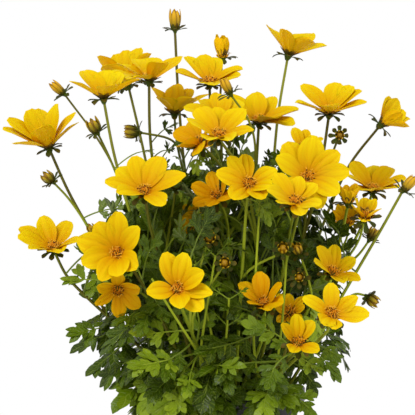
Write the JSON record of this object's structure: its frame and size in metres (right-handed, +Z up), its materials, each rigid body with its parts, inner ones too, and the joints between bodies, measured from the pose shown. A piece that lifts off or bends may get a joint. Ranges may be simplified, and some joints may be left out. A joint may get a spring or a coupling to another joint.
{
  "type": "potted bidens",
  "caption": "Bushy potted bedding plant: daisy-like yellow blooms and buds on thin branching stems over a mound of lobed green leaves, in a tapered black nursery pot filled with soil.",
  "frame": {"origin": "centre of the pot's flat underside, on the surface that it stands on", "axes": "+Z up through the pot's axis, -Y towards the side that the picture shows, +X to its right"},
  "size_m": [0.2826, 0.2225, 0.3485],
  "materials": {
    "pot": "satin",
    "soil": "matte",
    "leafy_stem": "satin",
    "petal": "satin"
  },
  "bodies": {
    "root": {"pot": "pot", "soil": "soil", "leafy_stem_a": "leafy_stem", "leafy_stem_b": "leafy_stem", "leafy_stem_c": "leafy_stem", "leafy_stem_d": "leafy_stem", "leafy_stem_e": "leafy_stem", "leafy_stem_f": "leafy_stem", "leafy_stem_g": "leafy_stem", "leafy_stem_h": "leafy_stem", "leafy_stem_i": "leafy_stem", "leafy_stem_j": "leafy_stem", "leafy_stem_k": "leafy_stem", "leafy_stem_l": "leafy_stem", "leafy_stem_m": "leafy_stem", "leafy_stem_n": "leafy_stem", "leafy_stem_o": "leafy_stem", "leafy_stem_p": "leafy_stem", "leafy_stem_q": "leafy_stem", "leafy_stem_r": "leafy_stem", "leafy_stem_s": "leafy_stem", "leafy_stem_t": "leafy_stem", "leafy_stem_u": "leafy_stem", "leafy_stem_v": "leafy_stem", "leafy_stem_w": "leafy_stem", "leafy_stem_x": "leafy_stem", "leafy_stem_y": "leafy_stem", "leafy_stem_z": "leafy_stem", "bloom_01": "petal", "bloom_02": "petal", "bloom_03": "petal", "bloom_04": "petal", "bloom_05": "petal", "bloom_06": "petal", "bloom_07": "petal", "bloom_08": "petal", "bloom_09": "petal", "bloom_10": "petal", "bloom_11": "petal", "bloom_12": "petal", "bloom_13": "petal", "bloom_14": "petal", "bloom_15": "petal", "bloom_16": "petal", "bloom_17": "petal", "bloom_18": "petal", "bloom_19": "petal", "bloom_20": "petal", "bloom_21": "petal", "bloom_22": "petal", "bloom_23": "petal", "bloom_24": "petal", "bloom_25": "petal", "bloom_26": "petal", "bloom_27": "petal", "bloom_28": "petal", "bloom_29": "petal", "bloom_30": "petal"}
  },
  "joints": []
}
